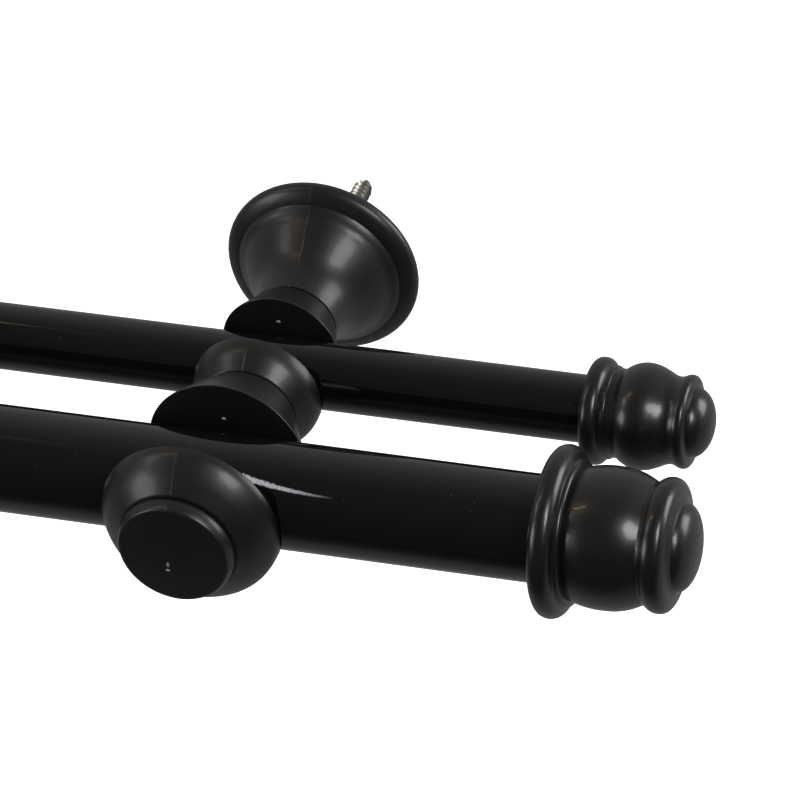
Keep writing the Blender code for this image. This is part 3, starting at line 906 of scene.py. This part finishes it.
# %% Build the thread tree
# The ridge climbs round the Y axis from Start towards -Y.
threads = geometry_tree(
    "climbing_thread",
    {
        "Centre": (PLACE, (0.0, 0.0, 0.0)),
        "Start": (NUMBER, 0.034),
        "Length": (NUMBER, 0.028),
        "Pitch": (NUMBER, 0.0034),
        "Root": (NUMBER, 0.0021),
        "Crest": (NUMBER, 0.0009),
        "Point": (NUMBER, 0.006),
        "Runout": (NUMBER, 0.003),
        "Steps": (COUNT, 600),
    },
    [
        ("line", "GeometryNodeCurvePrimitiveLine", {"Start": (0, 0, 0), "End": (0, -1, 0)}),
        ("points", "GeometryNodeResampleCurve", {"Curve": "line", "Count": "Steps"}),
        ("share", "GeometryNodeSplineParameter", {}),
        ("along", "MULTIPLY", {0: "share", 1: "Length"}),
        ("turns", "DIVIDE", {0: "along", 1: "Pitch"}),
        ("angle", "MULTIPLY", {0: "turns", 1: 2 * math.pi}),
        ("tip", "ADD", {0: "along", 1: 0.0006}),
        ("slope", "DIVIDE", {0: "tip", 1: "Point"}),
        ("full", "MINIMUM", {0: "slope", 1: 1.0}),
        ("taper", "POWER", {0: "full", 1: 0.62}),
        ("radius", "MULTIPLY", {0: "Root", 1: "taper"}),
        ("sine", "SINE", {0: "angle"}),
        ("cosine", "COSINE", {0: "angle"}),
        ("x", "MULTIPLY", {0: "radius", 1: "sine"}),
        ("y", "SUBTRACT", {0: "Start", 1: "along"}),
        ("z", "MULTIPLY", {0: "radius", 1: "cosine"}),
        ("place", "ShaderNodeCombineXYZ", {"X": "x", "Y": "y", "Z": "z"}),
        ("moved", "ShaderNodeVectorMath", {0: "place", 1: "Centre"}, {"operation": "ADD"}),
        ("helix", "GeometryNodeSetPosition", {"Geometry": "points", "Position": "moved"}),
        ("left", "SUBTRACT", {0: "Length", 1: "along"}),
        ("ending", "DIVIDE", {0: "left", 1: "Runout"}),
        ("fade", "MINIMUM", {0: "ending", 1: 1.0}),
        ("end", "MAXIMUM", {0: "fade", 1: 0.02}),
        ("start", "MAXIMUM", {0: "taper", 1: 0.35}),
        ("both", "MULTIPLY", {0: "end", 1: "start"}),
        ("height", "MULTIPLY", {0: "Crest", 1: "both"}),
        ("upright", "GeometryNodeSetCurveNormal",
         {"Curve": "helix", "Normal": (0.0, 1.0, 0.0)}, {"mode": "FREE"}),
        ("diamond", "GeometryNodeCurvePrimitiveCircle",
         {"Resolution": 4, "Radius": 1.0}, {"mode": "RADIUS"}),
        ("flat", "GeometryNodeTransform", {"Geometry": "diamond", "Scale": (0.62, 1.0, 1.0)}),
        ("made", "GeometryNodeCurveToMesh",
         {"Curve": "upright", "Profile Curve": "flat", "Scale": "height", "Fill Caps": True}),
    ],
    keep=True,
)

# %% [markdown]
# ## The hanger bolts
# A hanger bolt has a wood screw at one end and a machine screw at the other, so it has no head:
# it is wound into the wall plug first, and the bracket is then screwed on to it. Its core is
# turned like the other pieces. The wood end tapers to a blunt gimlet point that starts its own
# hole. Both threads are then added by the tree, one after the other.

# %% Make the two hanger bolts
BOLT_CORE = [
    [(-33.0, 0.0), (-32.92, 0.4), (-32.4, 0.75), (-31.4, 1.15), (-30.2, 1.45), (-28.4, 1.65),
     (-26.0, 1.7)],
    [(-26.0, 1.7), (-4.2, 1.7)],
    [(-4.2, 1.7), (-3.4, 2.3)],
    [(-3.4, 2.3), (-3.2, 2.46), (-2.0, 2.5), (-1.2, 2.42)],
    [(-1.2, 2.42), (-0.9, 2.1)],
    [(-0.9, 2.1), (14.4, 2.1)],
    [(14.4, 2.1), (15.0, 1.7)],
    [(15.0, 1.7), (15.0, 0.0)],
]
BOLT_SLICES = even_slices(40)
WOOD_THREAD = {
    "Start": 0.0324, "Length": 0.0270, "Pitch": 0.0015, "Root": 0.0016, "Crest": 0.0008,
    "Point": 0.0030, "Runout": 0.003, "Steps": 640, "Material": zinc,
}
MACHINE_THREAD = {
    "Start": 0.0005, "Length": 0.0150, "Pitch": 0.0008, "Root": 0.0021, "Crest": 0.00038,
    "Point": 0.0006, "Runout": 0.0008, "Steps": 560, "Material": zinc,
}
for side, x in BRACKET_X.items():
    points, faces = turn_on_lathe(
        smooth_outline(BOLT_CORE, 0.5),
        BOLT_SLICES,
        lambda along, radius, angle, x=x: across_bracket(x, along, radius, angle),
    )
    mesh = bpy.data.meshes.new(f"{side}_bolt_core")
    mesh.from_pydata(points, [], faces)
    for thread in (WOOD_THREAD, MACHINE_THREAD):
        values = {"Centre": (x, 0.0, 0.0), **thread}
        mesh = run_tree(threads, f"{side}_threaded_bolt", mesh, values)
    face_outwards(mesh)
    bolt = put_in_scene(f"{side}_threaded_bolt", mesh)
    declare(bolt, "brackets", [f"{side}_hanger_bolt"])

# %% [markdown]
# ## The plugs in the tubes
# Each finial is pushed into its tube on a nylon plug. The plug is a little smaller than the
# bore, and thin crush ribs along it take up the difference, so it grips without a screw. The
# ribs repeat evenly round the plug, so a second tree sets one rib at each point of a circle.

# %% Build the rib tree
ribs = geometry_tree(
    "ribs_round_a_plug",
    {
        "Centre": (PLACE, (0.0, 0.0, 0.0)),
        "Count": (COUNT, 8),
        "Radius": (NUMBER, 0.011),
        "Length": (NUMBER, 0.016),
        "Rib": (NUMBER, 0.0005),
    },
    [
        ("circle", "GeometryNodeMeshCircle",
         {"Vertices": "Count", "Radius": "Radius"}, {"fill_type": "NONE"}),
        ("upright", "GeometryNodeTransform",
         {"Geometry": "circle", "Rotation": (0.0, math.pi / 2, 0.0)}),
        ("end", "ShaderNodeCombineXYZ", {"X": "Length"}),
        ("line", "GeometryNodeCurvePrimitiveLine", {"End": "end"}),
        ("points", "GeometryNodeResampleCurve", {"Curve": "line", "Count": 7}),
        ("share", "GeometryNodeSplineParameter", {}),
        ("begin", "MULTIPLY", {0: "share", 1: 5.0}),
        ("rise", "MINIMUM", {0: "begin", 1: 1.0}),
        ("left", "SUBTRACT", {0: 1.0, 1: "share"}),
        ("ending", "MULTIPLY", {0: "left", 1: 12.0}),
        ("fall", "MINIMUM", {0: "ending", 1: 1.0}),
        ("lower", "MINIMUM", {0: "rise", 1: "fall"}),
        ("limited", "MAXIMUM", {0: "lower", 1: 0.25}),
        ("height", "MULTIPLY", {0: "Rib", 1: "limited"}),
        ("bar", "GeometryNodeCurvePrimitiveCircle",
         {"Resolution": 12, "Radius": 1.0}, {"mode": "RADIUS"}),
        ("rib", "GeometryNodeCurveToMesh",
         {"Curve": "points", "Profile Curve": "bar", "Scale": "height", "Fill Caps": True}),
        ("ring", "GeometryNodeInstanceOnPoints", {"Points": "upright", "Instance": "rib"}),
        ("made", "GeometryNodeTransform", {"Geometry": "ring", "Translation": "Centre"}),
    ],
    keep=True,
)

# %% Make the four plugs
SHANK = {"front": 8.0, "rear": 5.0}
BORE_CLEARANCE = 0.3
RIB_HEIGHT = 0.5
RIB_LENGTH = 17.0
RIB_INSET = 1.5
for row in ("front", "rear"):
    rod = RODS[row]
    bore = (rod["radius"] - ROD_WALL[row]) / MM
    grip = bore - BORE_CLEARANCE - RIB_HEIGHT
    shank = SHANK[row]
    loop = [
        (-20.0, grip - 1.1), (-20.0, grip - 0.5), (-19.4, grip), (-0.6, grip), (0.0, grip - 0.1),
        (0.0, shank), (9.6, shank), (10.0, shank - 0.4), (10.0, shank - 1.6), (-2.0, shank - 1.6),
        (-2.0, grip - 1.1),
    ]
    for side in ("right", "left"):
        name = f"{row}_{side}_ribbed_plug"
        place = out_from_end(row, side)
        points, faces = turn_loop([(a * MM, r * MM) for a, r in loop], BOLT_SLICES, place)
        body_mesh = bpy.data.meshes.new(name + "_body")
        body_mesh.from_pydata(points, [], faces)
        inset = RIB_LENGTH + RIB_INSET if side == "right" else -RIB_INSET
        plug_mesh = run_tree(ribs, name, body_mesh, {
            "Centre": (rod[side] - inset * MM, rod["y"], 0.0), "Count": 8,
            "Radius": grip * MM, "Length": RIB_LENGTH * MM, "Rib": RIB_HEIGHT * MM,
            "Material": nylon,
        })
        face_outwards(plug_mesh)
        plug = put_in_scene(name, plug_mesh)
        declare(plug, f"{row}_finial_{side}", [f"{row}_finial_plug_{side}"])

# %% [markdown]
# ## Small marks on the mouldings
# A moulding is never perfect. Where the plastic entered the mould, a stub was snapped off and
# left a pip, on the flat wall of each slot and on the end button, and there is a longer scrape
# beside the pip on the button. Each is a few tenths of a millimetre, made as a small domed mesh
# that sits on its surface. Their pale grey is partly stress whitening and partly a painted
# highlight for the light that these small domes catch.

# %% Make the pips
SPOT_SIDES = 12
SPOT_PROFILE = ((-1.0, 0.0), (-1.0, 0.8), (0.0, 1.0), (0.6, 0.8), (0.92, 0.4), (1.0, 0.0))


def domed_spot(at, normal, wide, tall, high):
    """Points and faces of a small closed dome, wide by tall, standing high on a surface."""
    normal = Vector(normal).normalized()
    side = normal.cross(Vector((0.0, 0.0, 1.0)))
    side = side.normalized() if side.length > 1e-3 else Vector((1.0, 0.0, 0.0))
    up = side.cross(normal)
    points, faces, rings = [], [], []
    for lift, share in SPOT_PROFILE:
        ring = []
        for k in range(SPOT_SIDES if share else 1):
            a = 2 * math.pi * k / SPOT_SIDES
            ring.append(len(points))
            points.append(
                Vector(at) + normal * high * lift
                + side * wide * share * math.cos(a) + up * tall * share * math.sin(a)
            )
        rings.append(ring)
    for one, two in zip(rings[:-1], rings[1:]):
        for k in range(SPOT_SIDES):
            n = (k + 1) % SPOT_SIDES
            corners = (one[k % len(one)], one[n % len(one)], two[n % len(two)], two[k % len(two)])
            faces.append(tuple(dict.fromkeys(corners)))
    return points, faces


def join_shapes(shapes):
    """Several shapes as one list of points and one of faces."""
    points, faces = [], []
    for more_points, more_faces in shapes:
        faces += [tuple(i + len(points) for i in face) for face in more_faces]
        points += list(more_points)
    return points, faces


rear_wall, front_wall = (
    RODS[row]["y"] + RODS[row]["radius"] + SLOT_CLEARANCE for row in ("rear", "front")
)
button_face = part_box("right_end_button")[0].y
# Each row: a place from the bracket's axis, then half width, half height and rise.
PIPS = [
    ((0.00037, rear_wall, 0.00786), (0.00055, 0.0004, 0.00014)),
    ((0.00033, front_wall, 0.00956), (0.00055, 0.00042, 0.00014)),
    ((-0.00136, button_face + 0.00006, -0.00419), (0.0005, 0.0004, 0.00016)),
    ((-0.0012, button_face + 0.00003, -0.0025), (0.00034, 0.0007, 0.00010)),
]
for side, x in BRACKET_X.items():
    points, faces = join_shapes(
        [domed_spot(Vector(at) + Vector((x, 0.0, 0.0)), (0, -1, 0), *sizes) for at, sizes in PIPS]
    )
    # The pips' pale colour is partly a painted highlight.
    finish_mesh(
        f"{side}_gate_pips", points, faces, pip_whitening_and_highlight, "brackets", [], 60.0
    )

# %% [markdown]
# ## Settled dust
# Gloss black shows every speck. Dust lands at random, but only on the upper side of a rod, so a
# tree scatters points on a patch of the tube's skin, keeps the ones that face up, and puts a
# tiny irregular grain at each. The seed is fixed, so the specks are the same every time.

# %% Build the dust tree
# Grains are scattered on the upper side of a surface, each stretched and turned at random.
settled = geometry_tree(
    "settled_dust",
    {"Density": (NUMBER, 3000.0), "Grain": (NUMBER, 0.00009), "Seed": (COUNT, 4)},
    [
        ("normal", "GeometryNodeInputNormal", {}),
        ("parts", "ShaderNodeSeparateXYZ", {0: "normal"}),
        ("facing_up", "FunctionNodeCompare", {0: "parts.Z", 1: 0.05},
         {"data_type": "FLOAT", "operation": "GREATER_THAN"}),
        ("scattered", "GeometryNodeDistributePointsOnFaces",
         {"Mesh": "Geometry", "Selection": "facing_up", "Density": "Density", "Seed": "Seed"},
         {"distribute_method": "RANDOM"}),
        ("grain", "GeometryNodeMeshIcoSphere", {"Radius": "Grain", "Subdivisions": 1}),
        ("size", "FunctionNodeRandomValue",
         {0: (0.5, 0.5, 0.4), 1: (1.9, 1.1, 0.7), "Seed": "Seed"},
         {"data_type": "FLOAT_VECTOR"}),
        ("made", "GeometryNodeInstanceOnPoints",
         {"Points": "scattered", "Instance": "grain", "Rotation": "scattered.Rotation",
          "Scale": "size"}),
    ],
    keep=False,
)

# %% Scatter the dust
DUST_SEED = {"front": 11, "rear": 23}
DUST_MARGIN = 0.002
for row, rod in RODS.items():
    points, faces = turn_loop(
        [(rod["left"] + DUST_MARGIN, rod["radius"]), (rod["right"] - DUST_MARGIN, rod["radius"])],
        even_slices(64),
        lambda along, radius, angle, y=rod["y"]: along_rod(y, along, radius, angle),
    )
    skin = bpy.data.meshes.new(f"{row}_rod_skin")
    skin.from_pydata(points, [], faces[: len(faces) // 2])
    values = {"Density": 5200.0, "Grain": 0.00008, "Seed": DUST_SEED[row], "Material": dust}
    specks = put_in_scene(f"{row}_rod_dust", run_tree(settled, f"{row}_rod_dust", skin, values))
    declare(specks, f"{row}_rod", [])

# %% [markdown]
# ## The pieces that stay as they are
# The studs and bushes inside the brackets have the right shape already. They are hidden, but
# they are real pieces, so they get the zinc plating in place of their plain engineering colour.

# %% Give the hidden metal its plating
for name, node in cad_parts.items():
    if name.endswith("_stud") or name.endswith("_insert"):
        for place in node.material_slots:
            place.material = zinc
        print("plated:", name)

# %% [markdown]
# ## The room
# Black gloss shows the room rather than itself, so the light matters as much as the shape. The
# object hangs over a pale, evenly lit table. Two soft boxes, left and right, give the broad
# gleams. A small warm lamp overhead gives the thin streaks. The ceiling is a dim glow that
# draws the grey band along the top of each rod, and the dark room in front keeps their middles
# black. The world also shows plain white where the camera looks past the table.

# %% Floor and world
def pale_table():
    """A large pale table below the object, lit from within like a light table."""
    mesh = bpy.data.meshes.new("pale_table")
    x0, x1, y0, y1, z = -3.6, 2.6, -0.12, 5.0, -0.30
    mesh.from_pydata([(x0, y0, z), (x1, y0, z), (x1, y1, z), (x0, y1, z)], [], [(0, 1, 2, 3)])
    mesh.materials.append(mottled(
        "pale_light_table", ("#F4F4F4", "#FBFBFB"), 400.0, 2.0, (0.9, 0.9),
        **{"Emission Color": "tint", "Emission Strength": 0.95, "Specular IOR Level": 0.0},
    ))
    table = put_in_scene("pale_table", mesh)
    table.visible_glossy = False


# How bright the room is, by angle in degrees: 0 is straight out into the room, 90 is overhead,
# 180 is straight into the wall and -90 is straight down.
ROOM = {
    -180: 0.33, -100: 0.27, -70: 0.26, -56: 0.11, -42: 0.05, -28: 0.07, 0: 0.08, 40: 0.12,
    74: 0.15, 93: 0.20, 115: 0.32, 140: 0.40, 176: 0.35, 180: 0.33,
}
WHITE = (1.0, 1.0, 1.0, 1.0)


def room_glow():
    """A world that is dim in front, brighter overhead and behind, and white to the camera."""
    world = bpy.data.worlds.new("room")
    bpy.context.scene.world = world
    world.use_nodes = True
    tree = world.node_tree
    tree.nodes.clear()
    direction = add_node(tree, "ShaderNodeTexCoord").outputs["Generated"]
    found = add_table(tree, [
        ("parts", "ShaderNodeSeparateXYZ", {"Vector": direction}),
        ("into_room", "MULTIPLY", {0: "parts.Y", 1: -1.0}),
        ("turn", "ARCTAN2", {0: "parts.Z", 1: "into_room"}),
        ("share", RANGE, {"Value": "turn", "From Min": -math.pi, "From Max": math.pi}),
        ("glow", "ShaderNodeValToRGB", {"Fac": "share"}),
        ("room", "ShaderNodeBackground", {"Color": "glow", "Strength": 1.0}),
        ("white", "ShaderNodeBackground", {"Color": WHITE, "Strength": 1.0}),
        ("rays", "ShaderNodeLightPath", {}),
        ("both", "ShaderNodeMixShader", {0: "rays.Is Camera Ray", 1: "room", 2: "white"}),
        ("output", "ShaderNodeOutputWorld", {"Surface": "both"}),
    ], {})
    ramp = found["glow"].color_ramp
    stops = sorted((degrees / 360 + 0.5, radiance) for degrees, radiance in ROOM.items())
    for number, (position, radiance) in enumerate(stops):
        stop = ramp.elements[number] if number < 2 else ramp.elements.new(position)
        stop.position = position
        stop.color = (radiance, radiance, radiance, 1.0)


pale_table()
room_glow()
bpy.context.scene.view_settings.view_transform = "Standard"
print("stage and world are ready")


# %% Lights
AIM = Vector((0.02, -0.06, 0.0))


def soft_box(name, towards, distance, width, height, radiance, colour="#FFFFFF"):
    """An area light in a direction from the object, turned to face it."""
    data = bpy.data.lights.new(name, "AREA")
    data.shape = "RECTANGLE"
    data.size, data.size_y = width, height
    data.energy = radiance * math.pi * width * height
    data.color = linear(colour)[:3]
    light = put_in_scene(name, data)
    towards = Vector(towards).normalized()
    light.matrix_world = Matrix.Translation(AIM + towards * distance) @ (
        towards.to_track_quat("Z", "Y").to_matrix().to_4x4()
    )


soft_box("left_soft_box", (-0.77, -0.56, 0.28), 1.6, 0.60, 0.60, 4.9)
soft_box("left_window", (-0.74, -0.19, 0.64), 1.6, 0.40, 0.40, 3.0)
soft_box("right_soft_box", (0.63, -0.38, 0.65), 1.6, 0.50, 0.65, 11.5)
soft_box("right_window", (0.80, 0.50, 0.28), 1.6, 0.80, 0.90, 5.0)
soft_box("warm_lamp", (-0.512, -0.057, 0.857), 1.593, 0.03, 0.40, 24.0, "#FFD9B0")
print("lights are ready")
